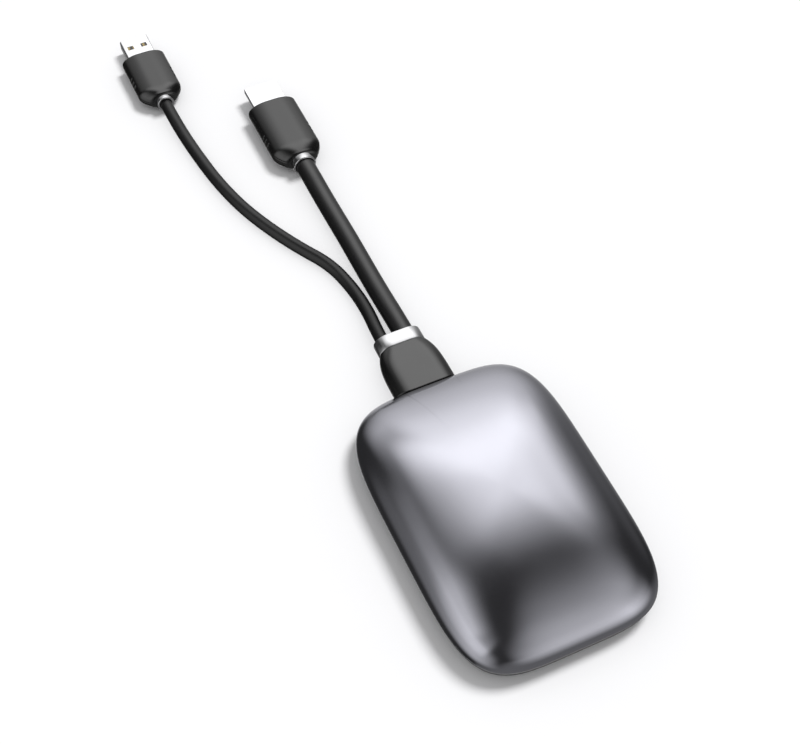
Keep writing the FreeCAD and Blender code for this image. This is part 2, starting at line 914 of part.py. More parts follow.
def contact_row(count, pitch, width, end, tip, low):
    """Strips side by side under the middle of a plug, ending at the tip."""
    strips = []
    for index in range(count):
        x = end.x + pitch * (index - (count - 1) / 2)
        strips.append(span(width, tip - contact_length, tip, low, low + contact_height, x))
    return strips


def video_plug_contacts():
    tip = video_front + video_shell_length - video_insulator_setback
    strips = []
    for count, side in ((video_upper_contacts, 1), (video_lower_contacts, -1)):
        low = video_end.z + side * (video_slot_height - contact_height) / 2 - contact_height / 2
        strips += contact_row(count, video_contact_pitch, video_contact_width, video_end, tip, low)
    return Part.makeCompound(strips)


def data_prism(inset, edge):
    section = rounded_section(data_shell_width - 2 * inset, data_shell_height - 2 * inset, edge,
                              data_end.x, data_front, data_end.z)
    return Part.Face(section).extrude(Vector(0, data_shell_length, 0))


def data_plug_shell():
    back = data_front + data_shell_length - data_window_from_front
    cuts = [data_prism(data_shell_wall, data_shell_wall)]
    for side in (-1, 1):
        cuts.append(span(data_window_width, back - data_window_length, back, data_end.z - data_shell_height,
                         data_end.z + data_shell_height, data_end.x + side * data_window_offset))
    return data_prism(0, 2 * data_shell_wall).cut(cuts)


def data_plug_tongue():
    width = data_shell_width - 2 * data_shell_wall - 2 * data_tongue_side_room
    return span(width, data_front, data_front + data_shell_length - data_tongue_setback, tongue_low,
                tongue_low + data_tongue_height, data_end.x)


def data_plug_contacts():
    tip = data_front + data_shell_length - data_tongue_setback - contact_setback
    return Part.makeCompound(contact_row(
        data_contacts, data_contact_pitch, data_contact_width, data_end, tip,
        tongue_low + data_tongue_height))


def build():
    return {
        "base_shell": base_shell(),
        "rubber_feet": rubber_feet(),
        "light_ring": light_ring(),
        "inner_lid": inner_lid(),
        "case_screws": case_screws(),
        "top_cover": top_cover(),
        "shoulder_screws": shoulder_screws(),
        "return_springs": return_springs(),
        "switch_body": switch_body(),
        "switch_plunger": switch_plunger(),
        "main_board": main_board(),
        "board_screws": board_screws(),
        "processor_chip": processor_chip(),
        "thermal_pad": thermal_pad(),
        "heat_sink": heat_sink(),
        "memory_chips": memory_chips(),
        "radio_board": radio_board(),
        "radio_shield": radio_shield(),
        "antennas": antennas(),
        "status_leds": status_leds(),
        "board_parts": board_parts(),
        "video_header": header(video_header_width, video_header_shift, video_route),
        "data_header": header(data_header_width, data_header_shift, data_route),
        "video_inner_lead": inner_lead("video inner lead", video_route, video_lead_radius),
        "data_inner_lead": inner_lead("data inner lead", data_route, data_lead_radius),
        "lead_clamp": lead_clamp(),
        "clamp_screws": clamp_screws(),
        "lead_boot": lead_boot(),
        "boot_collar": boot_collar(),
        "video_lead": cord("video lead", video_route, video_radius),
        "data_lead": cord("data lead", data_route, data_radius),
        "video_collar": video_collar(),
        "data_collar": data_collar(),
        "video_plug_body": plug_body(video_end, video_plug_width, video_plug_height, video_plug_length,
                                     video_shoulder, video_rear_width),
        "video_plug_shell": video_plug_shell(),
        "video_plug_insulator": video_plug_insulator(),
        "video_plug_contacts": video_plug_contacts(),
        "data_plug_body": plug_body(data_end, data_plug_width, data_plug_height, data_plug_length,
                                    data_shoulder, data_rear_width),
        "data_plug_shell": data_plug_shell(),
        "data_plug_tongue": data_plug_tongue(),
        "data_plug_contacts": data_plug_contacts(),
    }


os.makedirs("parts", exist_ok=True)
for node, shape in build().items():
    box = shape.BoundBox
    print(f"{node}: {len(shape.Solids)} solids, valid {shape.isValid()}, volume {shape.Volume:.1f}, "
          f"x {box.XMin:.2f} {box.XMax:.2f}, y {box.YMin:.2f} {box.YMax:.2f}, "
          f"z {box.ZMin:.2f} {box.ZMax:.2f}")
    shape.exportStep(f"parts/{node}.step")
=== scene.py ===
from math import radians

import bmesh
import bpy
import numpy as np
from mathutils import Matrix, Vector


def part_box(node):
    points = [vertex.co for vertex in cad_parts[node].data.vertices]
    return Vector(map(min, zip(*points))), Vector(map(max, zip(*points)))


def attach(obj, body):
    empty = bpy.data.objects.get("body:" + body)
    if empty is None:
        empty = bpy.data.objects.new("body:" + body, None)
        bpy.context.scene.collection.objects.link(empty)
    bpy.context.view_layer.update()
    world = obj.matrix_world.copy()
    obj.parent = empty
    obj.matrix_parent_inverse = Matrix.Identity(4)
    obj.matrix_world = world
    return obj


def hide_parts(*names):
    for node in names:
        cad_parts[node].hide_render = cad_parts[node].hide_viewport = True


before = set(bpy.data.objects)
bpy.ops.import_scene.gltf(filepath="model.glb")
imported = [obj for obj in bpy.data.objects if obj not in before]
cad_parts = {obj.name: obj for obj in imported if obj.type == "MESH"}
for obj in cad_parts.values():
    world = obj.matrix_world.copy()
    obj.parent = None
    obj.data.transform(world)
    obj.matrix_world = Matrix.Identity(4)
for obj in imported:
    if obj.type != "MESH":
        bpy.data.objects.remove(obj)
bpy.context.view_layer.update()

bl_info = {
    "name": "Wireless presentation button",
    "version": (1, 0, 0),
    "blender": (4, 5, 0),
    "location": "3D View, sidebar, Button tab",
    "description": "Finishes, leads, plugs and studio for a wireless presentation button",
    "category": "Object",
}

MM = 0.001

# How finely surfaces are sampled
OUTLINE_STEPS = 720
RING_STEPS = 640
TURNED_STEPS = 64
OUTER_ROWS = 72
INNER_ROWS = 40
BOOT_ROWS = 80
PLUG_ROWS = 160
CORNER_STEPS = 14
FLAT_STEPS = 8
END_STEPS = 10
EDGE_STEPS = 6
RIM_STEPS = 5

# Cover: turn at which its rows end near the top, degrees at which its rim's rounding leaves the
# domes, half the angle over which the slot's corners turn, and the screw bosses and press post
# inside, which reach into the roof by a share of its wall
TOP_TURN = radians(89.6)
RIM_START = 15
SLOT_CORNER = 0.0004
SCREW_HEAD = 3.0 * MM
BOSS_BORE = 1.32 * MM
BOSS_RADIUS = 4.5 * MM
BOSS_EDGE = 0.2 * MM
POST_RADIUS = 3.0 * MM
POST_EDGE = 0.3 * MM
POST_GAP = 0.1 * MM
BURIED_SHARE = 0.6

# Light ring's gap at the strain relief, and the feet: the groove's four corners are shares of the
# radius, and a small flat in the middle closes both faces
RING_GAP = 0.15 * MM
FOOT_EDGE = 0.4 * MM
FOOT_GROOVE = (0.45, 0.5, 0.62, 0.67)
FOOT_GROOVE_DEPTH = 0.2 * MM
FOOT_MIDDLE = 0.3 * MM

# Strain relief: its neck and flange in the casing, and its core, which ends inside the band
NECK_LOW = 2.6 * MM
NECK_EDGE = 0.3 * MM
FLANGE = 2.5 * MM
CORE_SETBACK = 0.6 * MM
BAND_EDGE = 0.2 * MM
COLLAR_EDGE = 0.35 * MM

# Plugs: a corner's greatest reach as a share of the width, grip grooves on each side, and shells
WIDEST_CORNER = 0.47
GRIP_SLOPE = 0.25 * MM
GRIP_GROOVES = 3
SHELL_EDGE = 0.1 * MM

# Refined solids: points nearer than this are one, and flatter angles than this are no edge
MERGE_DISTANCE = 0.001 * MM
FLAT_ANGLE = radians(1)
EDGE_ANGLE = 40.0
NODE_EDGE_ANGLE = 25.0

# Pieces that keep their solid's shape: each finish with its colour, its roughness and its pieces
METALS = (
    ("screw_steel", (0.45, 0.45, 0.47), 0.35,
     ("case_screws", "shoulder_screws", "board_screws", "clamp_screws")),
    ("spring_steel", (0.6, 0.6, 0.62), 0.25, ("return_springs",)),
    ("sink_aluminium", (0.75, 0.75, 0.77), 0.45, ("heat_sink",)),
    ("can_tin", (0.7, 0.7, 0.7), 0.3, ("radio_shield",)),
    ("antenna_brass", (0.8, 0.65, 0.35), 0.3, ("antennas",)),
    ("contact_gold", (0.9, 0.72, 0.35), 0.25, ("video_plug_contacts", "data_plug_contacts")),
)
MOULDINGS = (
    ("moulded_black", (0.03, 0.03, 0.03), 0.5,
     ("inner_lid", "switch_body", "memory_chips", "board_parts", "video_inner_lead", "data_inner_lead",
      "lead_clamp", "video_plug_insulator")),
    ("moulded_white", (0.8, 0.8, 0.8), 0.45, ("switch_plunger", "status_leds", "data_plug_tongue")),
    ("header_nylon", (0.8, 0.78, 0.7), 0.45, ("video_header", "data_header")),
    ("chip_black", (0.02, 0.02, 0.022), 0.4, ("processor_chip",)),
    ("pad_silicone", (0.45, 0.5, 0.6), 0.7, ("thermal_pad",)),
)
BOARDS = ("main_board", "radio_board")

# Bodies that pieces ride on
BASE = "base"
COVER = "cover"

# Free leads: points chosen along each route, in metres
VIDEO_ROUTE = (
    (0.0018, 0.0754, 0.0056), (0.0018, 0.0895, 0.0056), (0.0019, 0.1040, 0.0042),
    (0.0020, 0.1190, 0.0040), (0.0021, 0.1345, 0.0040), (0.0019, 0.1495, 0.0040),
    (0.0018, 0.1605, 0.0042), (0.0017, 0.1695, 0.0048), (0.0017, 0.1785, 0.0048))
DATA_ROUTE = (
    (-0.0067, 0.0754, 0.0052), (-0.0067, 0.0860, 0.0052), (-0.0054, 0.0975, 0.0037),
    (-0.0056, 0.1100, 0.0027), (-0.0086, 0.1252, 0.0026), (-0.0166, 0.1388, 0.0026),
    (-0.0235, 0.1532, 0.0026), (-0.0290, 0.1680, 0.0026), (-0.0327, 0.1840, 0.0026),
    (-0.0349, 0.2010, 0.0026), (-0.0362, 0.2145, 0.0030), (-0.0370, 0.2260, 0.0043),
    (-0.0370, 0.2350, 0.0043))

# Colour of the softboxes and the even light, and the least part of a view direction along a
# softbox's axis that still sees it
WHITE = (1.0, 1.0, 1.0)
LEAST_AHEAD = 0.02

# Softboxes round the studio: name, azimuth from +X and elevation in degrees, half width, half
# height, soft edge across and soft edge up as tangents seen from the object, and radiance
SOFTBOXES = (
    ("top back key", 84, 55.5, 0.37, 0.13, 0.20, 0.10, 1.02),
    ("back wash", 78, 31, 0.78, 0.36, 0.55, 0.72, 0.97),
    ("back low", 62, -11, 0.62, 1.60, 0.30, 0.22, 0.28),
    ("left strip", 183, 35, 0.50, 0.06, 0.10, 0.90, 1.40),
    ("left low card", 192, -1, 0.53, 0.64, 0.61, 0.47, 0.80),
    ("front card", -59.5, 22.5, 0.15, 0.41, 0.90, 0.79, 2.44),
    ("front top card", -30, 60, 0.23, 0.24, 0.52, 0.20, 0.58),
    ("back bounce", 70, -45, 0.40, 0.80, 0.20, 0.60, 0.30),
    ("front bounce", -67, -41, 1.51, 1.60, 0.90, 0.12, 0.17),
    ("right edge card", 37, 37, 0.07, 0.17, 0.10, 0.10, 0.65),
    ("right spot", 46, 46, 0.10, 0.10, 0.24, 0.24, 1.28),
    ("left back strip", 166, 49, 0.29, 0.03, 0.10, 0.61, 0.89),
    ("right back card", 65, 51, 0.30, 0.28, 0.22, 0.15, 0.65),
    ("right low card", 24, 3, 0.25, 0.20, 0.25, 0.25, 0.07),
)


def length_property(name, description, default):
    """Setting for a length."""
    return bpy.props.FloatProperty(
        name=name, description=description, default=default, min=0.0, precision=5,
        subtype="DISTANCE", unit="LENGTH")


def plain_property(name, description, default):
    """Setting for a number without a unit."""
    return bpy.props.FloatProperty(name=name, description=description, default=default, precision=3)


def colour_property(name, description, default):
    """Setting for a colour."""
    return bpy.props.FloatVectorProperty(
        name=name, description=description, default=default, size=3, min=0.0, max=1.0,
        subtype="COLOR")


class CasingSettings(bpy.types.PropertyGroup):
    """Shape and finish of the cover, the light ring and the base"""
    outline_power: plain_property("Outline power", "Power of the outline's superellipse", 4.5)
    plan_power: plain_property("Plan power", "Power on the level lines of the dome", 2.4)
    rise_power: plain_property("Rise power", "Power on the height of the dome", 2.3)
    wall: length_property("Wall", "Wall of the cover", 1.8 * MM)
    rim_edge: length_property("Rim edge", "Rounding of the cover's lower edge", 0.35 * MM)
    ring_edge: length_property("Ring edge", "Rounding of the light ring", 0.25 * MM)
    ring_width: length_property("Ring width", "Width of the light ring seen from above", 1.65 * MM)
    slot_room: length_property("Slot room", "Gap round the strain relief in the cover", 0.3 * MM)
    travel: length_property("Travel", "How far the cover goes down when pressed", 0.6 * MM)
    boss_gap: length_property("Boss gap", "Gap between the pressed cover's bosses and the springs", 0.03 * MM)
    foot_radius: length_property("Foot radius", "Half of a rubber foot's diameter", 6.0 * MM)
    cover_colour: colour_property("Cover colour", "Metallic lacquer", (0.44, 0.44, 0.485))
    base_colour: colour_property("Base colour", "Moulded tray", (0.09, 0.09, 0.092))
    ring_colour: colour_property("Ring colour", "Smoked light guide", (0.20, 0.20, 0.205))


class LeadSettings(bpy.types.PropertyGroup):
    """Leads, strain relief, collars and plugs"""
    video_radius: length_property("Video lead radius", "Half of the thick lead's diameter", 3.9 * MM)
    data_radius: length_property("Data lead radius", "Half of the thin lead's diameter", 2.5 * MM)
    video_length: length_property("Video lead length", "Strain relief to plug", 103.2 * MM)
    data_length: length_property("Data lead length", "Strain relief to plug", 165.3 * MM)
    edge_share: plain_property(
        "Edge share", "Corner radius of the mouldings as a share of their height", 0.44)
    boot_spread: plain_property(
        "Strain relief spread", "Width over height of the strain relief's corners", 1.4)
    plug_spread: plain_property("Plug spread", "Width over height of the plug bodies' corners", 1.9)
    end_round: length_property("End rounding", "Rounding of the plug bodies' ends", 1.1 * MM)
    seat_round: length_property("Seat rounding", "Rounding where two mouldings meet", 0.3 * MM)
    seam_depth: length_property("Seam depth", "Depth of the moulding seam along both sides", 0.08 * MM)
    seam_width: length_property("Seam width", "Half width of the moulding seam", 0.12 * MM)
    boot_root_y: length_property(
        "Strain relief root", "Where the strain relief leaves the casing", 55.55 * MM)
    boot_root_width: length_property("Root width", "Width of the strain relief at the casing", 23.3 * MM)
    boot_root_height: length_property(
        "Root height", "Height of the strain relief at the casing", 9.4 * MM)
    boot_neck_width: length_property(
        "Neck width", "Width of the strain relief in the casing's slot", 20.0 * MM)
    boot_neck_top: length_property("Neck top", "Level of the neck's upper face", 9.0 * MM)
    boot_taper_power: plain_property("Taper power", "Power on the way along the strain relief", 4.4)
    band_wall: length_property("Band wall", "Wall of the bright band at the tip", 0.5 * MM)
    video_shoulder: length_property("Video shoulder", "Length of the video plug's narrow rear", 7.5 * MM)
    video_rear: length_property("Video rear", "Width of the video plug's rear end", 12.5 * MM)
    data_shoulder: length_property("Data shoulder", "Length of the data plug's narrow rear", 6.5 * MM)
    data_rear: length_property("Data rear", "Width of the data plug's rear end", 10.0 * MM)
    rear_height: plain_property("Rear height", "Height of a plug's rear end as a share of its body", 0.86)
    grip_start: length_property("Grip start", "First grip groove from the shoulder", 4.5 * MM)
    grip_pitch: length_property("Grip pitch", "Distance between grip grooves", 2.4 * MM)
    grip_width: length_property("Grip width", "Width of a grip groove", 1.0 * MM)
    grip_depth: length_property("Grip depth", "Depth of a grip groove", 0.4 * MM)
    jacket_colour: colour_property("Jacket colour", "Lead jackets", (0.003, 0.003, 0.0033))
    mould_colour: colour_property("Overmould colour", "Strain relief and plugs", (0.004, 0.004, 0.004))
    bright_colour: colour_property("Bright colour", "Band and rings", (0.58, 0.58, 0.59))


class StudioSettings(bpy.types.PropertyGroup):
    """Camera, floor and lights"""
    camera_place: bpy.props.FloatVectorProperty(
        name="Camera place", description="Where the camera stands", size=3,
        default=(-0.1334085, -0.2081182, 0.4218928), subtype="XYZ", unit="LENGTH")
    camera_target: bpy.props.FloatVectorProperty(
        name="Camera target", description="Point on the table in the middle of the view", size=3,
        default=(-0.0050812, 0.0702159, 0.0), subtype="XYZ", unit="LENGTH")
    lens: plain_property("Lens", "Focal length in millimetres on a 36 mm wide sensor", 64.677)
    floor_size: length_property("Floor size", "Side of the square floor", 6.0)
    floor_colour: colour_property("Floor colour", "Pale matt table", (0.86, 0.86, 0.87))
    ambient: plain_property("Ambient", "Radiance of the studio between the softboxes", 0.04)
    even_light: plain_property("Even light", "Radiance that matt surfaces gather from all round", 0.56)
    sun_strength: plain_property("Floor light", "Strength of the light that throws the soft shadow", 2.33)
    backdrop_colour: colour_property("Backdrop colour", "Seen past the table's edge", (0.93, 0.94, 0.95))
    backdrop_light: plain_property("Backdrop light", "Radiance of the backdrop", 0.95)
    sun_azimuth: plain_property("Floor light azimuth", "Degrees from +X towards +Y", 17.0)
    sun_elevation: plain_property("Floor light elevation", "Degrees above the table", 58.0)
    sun_spread: bpy.props.FloatProperty(
        name="Floor light spread", description="Angle of the light that throws the soft shadow",
        default=radians(20), subtype="ANGLE", unit="ROTATION")


# Mesh helpers

def closed_mesh(points, faces):
    """Mesh of one closed surface, turned so that its signed volume is positive."""
    mesh = bpy.data.meshes.new("part")
    mesh.from_pydata(points.tolist(), [], faces)
    mesh.calc_loop_triangles()
    corners = np.empty(len(mesh.loop_triangles) * 3, np.int32)
    mesh.loop_triangles.foreach_get("vertices", corners)
    first, second, third = points[corners.reshape(-1, 3)].transpose(1, 0, 2)
    if np.sum(first * np.cross(second, third)) < 0:
        mesh.flip_normals()
    return mesh


def grid_surface(grid, start_pole=None, end_pole=None):
    """Surface through rows of closed loops. A pole closes an end; without poles the rows close too."""
    rows, columns = grid.shape[:2]
    points = grid.reshape(-1, 3)
    index = np.arange(rows * columns).reshape(rows, columns)
    index = np.hstack([index, index[:, :1]])
    if start_pole is None:
        index = np.vstack([index, index[:1]])
    quads = np.stack([index[:-1, :-1], index[:-1, 1:], index[1:, 1:], index[1:, :-1]], axis=-1)
    faces = quads.reshape(-1, 4).tolist()
    if start_pole is not None:
        points = np.vstack([points, start_pole, end_pole])
        first = np.full(columns, rows * columns)
        last = first + 1
        faces += np.stack([first, index[0, 1:], index[0, :-1]], axis=-1).tolist()
        faces += np.stack([index[-1, :-1], index[-1, 1:], last], axis=-1).tolist()
    return closed_mesh(points, faces)


def open_sweep(grid):
    """Closed section carried along an open path: rows go round the section, columns along the path."""
    rows, columns = grid.shape[:2]
    index = np.arange(rows * columns).reshape(rows, columns)
    wrapped = np.vstack([index, index[:1]])
    quads = np.stack([wrapped[:-1, :-1], wrapped[:-1, 1:], wrapped[1:, 1:], wrapped[1:, :-1]], axis=-1)
    faces = quads.reshape(-1, 4).tolist()
    faces.append(index[:, 0].tolist())
    faces.append(index[::-1, -1].tolist())
    return closed_mesh(grid.reshape(-1, 3), faces)


def turned(radii, heights, place):
    """Solid of revolution: a profile of radii and heights turned round a vertical axis."""
    angle = np.linspace(0, 2 * np.pi, TURNED_STEPS, endpoint=False)
    radius = np.asarray(radii)[:, None]
    x = place[0] + radius * np.cos(angle)
    y = place[1] + radius * np.sin(angle)
    grid = np.stack(np.broadcast_arrays(x, y, np.asarray(heights)[:, None]), axis=-1)
    return grid_surface(grid, (*place, heights[0]), (*place, heights[-1]))


def arc(start_angle, end_angle, count):
    """Evenly spaced turns between two angles in degrees."""
    return np.radians(np.linspace(start_angle, end_angle, count))


def rounded_box(low, high, start, end, edge):
    """Points round a rectangle with quarter-circle corners, as two columns of values."""
    first = []
    second = []
    corners = ((low + edge, start + edge, 180), (high - edge, start + edge, 270),
               (high - edge, end - edge, 0), (low + edge, end - edge, 90))
    for across, along, turn in corners:
        bend = arc(turn, turn + 90, EDGE_STEPS)
        first.append(across + edge * np.cos(bend))
        second.append(along + edge * np.sin(bend))
    return np.concatenate(first)[:, None], np.concatenate(second)[:, None]


def tube(bore, radius, start, end, centre, edge, axis="Z"):
    """Tube with rounded rims: a rounded rectangle of radii and places turned round its axis."""
    radii, places = rounded_box(bore, radius, start, end, edge)
    angle = np.linspace(0, 2 * np.pi, TURNED_STEPS, endpoint=False)
    across = centre[0] + radii * np.cos(angle)
    other = centre[1] + radii * np.sin(angle)
    layout = (across, other, places) if axis == "Z" else (across, places, other)
    return grid_surface(np.stack(np.broadcast_arrays(*layout), axis=-1))


def middle(low, high):
    """Middle of a box across the leads: its x and z."""
    return (low.x + high.x) / 2, (low.z + high.z) / 2


def add_piece(name, meshes, material, body, nodes=(), crease=EDGE_ANGLE):
    """One object from closed meshes, smooth apart from its creases, in place of the given nodes."""
    joined = bmesh.new()
    for mesh in meshes:
        joined.from_mesh(mesh)
        bpy.data.meshes.remove(mesh)
    mesh = bpy.data.meshes.new(name)
    joined.to_mesh(mesh)
    joined.free()
    mesh.shade_smooth()
    mesh.set_sharp_from_angle(angle=radians(crease))
    mesh.materials.append(material)
    piece = bpy.data.objects.new(name, mesh)
    bpy.context.scene.collection.objects.link(piece)
    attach(piece, body)
    if nodes:
        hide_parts(*nodes)
    return piece


def add_refined_node(name, node, material, body, bevel=0.0):
    """Copy of a node's mesh with its triangles joined into smooth faces, and eased edges if asked."""
    refined = bmesh.new()
    refined.from_mesh(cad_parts[node].data)
    bmesh.ops.remove_doubles(refined, verts=refined.verts, dist=MERGE_DISTANCE)
    bmesh.ops.dissolve_limit(
        refined, angle_limit=FLAT_ANGLE, verts=refined.verts, edges=refined.edges, delimit={"NORMAL"})
    mesh = bpy.data.meshes.new(name)
    refined.to_mesh(mesh)
    refined.free()
    piece = add_piece(name, [mesh], material, body, (node,), crease=NODE_EDGE_ANGLE)
    if bevel:
        ease = piece.modifiers.new("eased_edges", "BEVEL")
        ease.width = bevel
        ease.segments = 2
        ease.limit_method = "ANGLE"
        ease.angle_limit = radians(EDGE_ANGLE)
        ease.harden_normals = True
    return piece


def coat_nodes(material, nodes):
    """Puts a material on nodes that stay as the frame gives them."""
    for node in nodes:
        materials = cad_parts[node].data.materials
        materials.clear()
        materials.append(material)


# Material helpers

def new_material(name, colour, roughness, metallic=0.0, specular=0.5):
    """Material with its uniform values set on the shader."""
    material = bpy.data.materials.new(name)
    material.use_nodes = True
    material.diffuse_color = (*colour, 1.0)
    shader = material.node_tree.nodes["Principled BSDF"]
    shader.inputs["Base Color"].default_value = (*colour, 1.0)
    shader.inputs["Roughness"].default_value = roughness
    shader.inputs["Metallic"].default_value = metallic
    shader.inputs["Specular IOR Level"].default_value = specular
    return material


def add_node(material, kind, **inputs):
    """Shader node with some of its inputs set by name."""
    node = material.node_tree.nodes.new(kind)
    for name, value in inputs.items():
        node.inputs[name].default_value = value
    return node


def link(material, source, target):
    material.node_tree.links.new(source, target)


def object_noise(material, feature, detail=3.0, stretch=(1, 1, 1)):
    """Noise whose grain is about one feature wide, in object space."""
    place = add_node(material, "ShaderNodeTexCoord")
    mapping = add_node(material, "ShaderNodeMapping")
    mapping.inputs["Scale"].default_value = tuple(share / feature for share in stretch)
    noise = add_node(material, "ShaderNodeTexNoise", Scale=1.0, Detail=detail, Roughness=0.55)
    link(material, place.outputs["Object"], mapping.inputs["Vector"])
    link(material, mapping.outputs["Vector"], noise.inputs["Vector"])
    return noise.outputs["Fac"]


def add_bump(material, heights, depth, strength):
    """Bump from heights between 0 and 1, whose full range is the given depth."""
    shader = material.node_tree.nodes["Principled BSDF"]
    bump = add_node(material, "ShaderNodeBump", Strength=strength, Distance=depth)
    link(material, heights, bump.inputs["Height"])
    link(material, bump.outputs["Normal"], shader.inputs["Normal"])


def vary(material, heights, socket, low, high):
    """Lets a shader socket vary with heights, between two plain values or two colours."""
    shader = material.node_tree.nodes["Principled BSDF"]
    if socket == "Base Color":
        ramp = add_node(material, "ShaderNodeValToRGB")
        for stop, colour in zip(ramp.color_ramp.elements, (low, high)):
            stop.color = (*colour, 1.0)
        link(material, heights, ramp.inputs["Fac"])
        link(material, ramp.outputs["Color"], shader.inputs[socket])
        return
    spread = add_node(material, "ShaderNodeMapRange")
    spread.inputs["To Min"].default_value = low
    spread.inputs["To Max"].default_value = high
    link(material, heights, spread.inputs["Value"])
    link(material, spread.outputs["Result"], shader.inputs[socket])


def shade(colour, share):
    """Colour made darker or paler by a share."""
    return tuple(min(1.0, part * share) for part in colour)


def lacquer(settings):
    """Metallic lacquer: fine flakes that tilt and tint the surface a little under a smooth film."""
    colour = settings.cover_colour
    material = new_material("cover_lacquer", colour, 0.17, metallic=1.0)
    flakes = object_noise(material, 0.22 * MM, detail=2.0)
    drift = object_noise(material, 9.0 * MM, detail=2.0)
    vary(material, flakes, "Base Color", shade(colour, 0.90), shade(colour, 1.10))
    vary(material, drift, "Roughness", 0.15, 0.19)
    add_bump(material, flakes, 0.004 * MM, 0.30)
    return material


def moulded_plastic(name, colour, roughness, specular=0.5):
    """Spark-eroded moulding: fine grain in height and colour, and a slow drift in gloss."""
    material = new_material(name, colour, roughness, specular=specular)
    grain = object_noise(material, 0.25 * MM, detail=4.0)
    drift = object_noise(material, 14.0 * MM)
    vary(material, drift, "Roughness", roughness - 0.04, roughness + 0.04)
    vary(material, grain, "Base Color", shade(colour, 0.85), shade(colour, 1.15))
    add_bump(material, grain, 0.012 * MM, 0.4)
    return material


def smoked_guide(settings):
    """Smoked light guide: smooth, with a slow ripple in height and gloss."""
    material = new_material("ring_smoke", settings.ring_colour, 0.22)
    ripple = object_noise(material, 3.0 * MM)
    vary(material, ripple, "Roughness", 0.16, 0.28)
    add_bump(material, ripple, 0.01 * MM, 0.4)
    return material


def jacket(settings, name, roughness, specular):
    """Extruded jacket: satin, with faint draw lines along it and a fine grain."""
    colour = settings.jacket_colour
    material = new_material(name, colour, roughness, specular=specular)
    grain = object_noise(material, 0.5 * MM, stretch=(1, 0.25, 1))
    vary(material, grain, "Roughness", roughness - 0.04, roughness + 0.04)
    vary(material, grain, "Base Color", shade(colour, 0.8), shade(colour, 1.2))
    add_bump(material, grain, 0.01 * MM, 0.4)
    return material


def plated(name, colour, roughness, stretch=(1, 1, 1)):
    """Plated or bare metal with faint rolling marks."""
    material = new_material(name, colour, roughness, metallic=1.0)
    marks = object_noise(material, 0.4 * MM, stretch=stretch)
    vary(material, marks, "Roughness", roughness * 0.8, roughness * 1.3)
    vary(material, marks, "Base Color", shade(colour, 0.94), shade(colour, 1.04))
    add_bump(material, marks, 0.003 * MM, 0.5)
    return material


def board_laminate():
    """Solder mask over copper: darker where no copper lies under it."""
    colour = (0.02, 0.16, 0.08)
    material = new_material("board_laminate", colour, 0.35)
    copper = object_noise(material, 2.5 * MM, detail=0.0)
    weave = object_noise(material, 0.4 * MM)
    vary(material, copper, "Base Color", shade(colour, 0.6), shade(colour, 1.5))
    vary(material, weave, "Roughness", 0.28, 0.45)
    add_bump(material, weave, 0.01 * MM, 0.4)
    return material


# Casing

def outline_reach(angle, wide, long, power):
    """Distance from the middle to |x/wide|^p + |y/long|^p = 1 in each direction."""
    total = np.abs(np.cos(angle) / wide) ** power + np.abs(np.sin(angle) / long) ** power
    return total ** (-1 / power)


def outline_grid(angle, wide, long, height, power):
    """Rows of outlines, one for each pair of half sizes and each height."""
    reach = outline_reach(angle, wide, long, power)
    return np.stack(np.broadcast_arrays(reach * np.cos(angle), reach * np.sin(angle), height), axis=-1)


def dome_rows(turn, wide, long, low, high, settings):
    """Dome in terms of a turn from 0 at its foot to a quarter at its top.

    A level line is the outline scaled by s = cos(turn)^(2/a), at the share sin(turn)^(2/b) of the
    rise, so that s^a + share^b = 1.
    """
    scale = np.cos(turn) ** (2 / settings.plan_power)
    height = low + (high - low) * np.sin(turn) ** (2 / settings.rise_power)
    return wide * scale, long * scale, height


def foot_turn(low, foot, high, settings):
    """Turn at which a dome that stands on foot reaches the level low."""
    share = np.clip((low - foot) / (high - foot), 0, 1)
    return np.arcsin(share ** (settings.rise_power / 2))


def slotted_rim(settings, wide, long, foot):
    """Angles round the outline, and the level of the cover's rim at each.

    Over the strain relief the level rises from the foot to the top of the slot, with two angles close
    together at each corner of the slot.
    """
    leads = bpy.context.scene.button_leads
    neck_half = leads.boot_neck_width / 2 + settings.slot_room
    neck_x = middle(*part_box("lead_boot"))[0]
    neck_top = leads.boot_neck_top + settings.travel + settings.slot_room
    corners = np.arctan2(long, neck_x + np.array([neck_half, -neck_half]))
    close = (corners[:, None] + np.array([-SLOT_CORNER, SLOT_CORNER])).ravel()
    angle = np.sort(np.concatenate([np.linspace(0, 2 * np.pi, OUTLINE_STEPS, endpoint=False), close]))
    in_slot = (angle > corners.min()) & (angle < corners.max())
    return angle, np.where(in_slot, neck_top, foot)


def rim_round(points, out, radius, bend):
    """Rows that leave a rim's points along a quarter circle, drawn sideways along out and down."""
    flat = points[:, :2] + out * radius * (1 - np.cos(bend))[:, None, None]
    level = points[:, 2] - radius * np.sin(bend)[:, None]
    return np.concatenate([flat, level[..., None]], axis=-1)


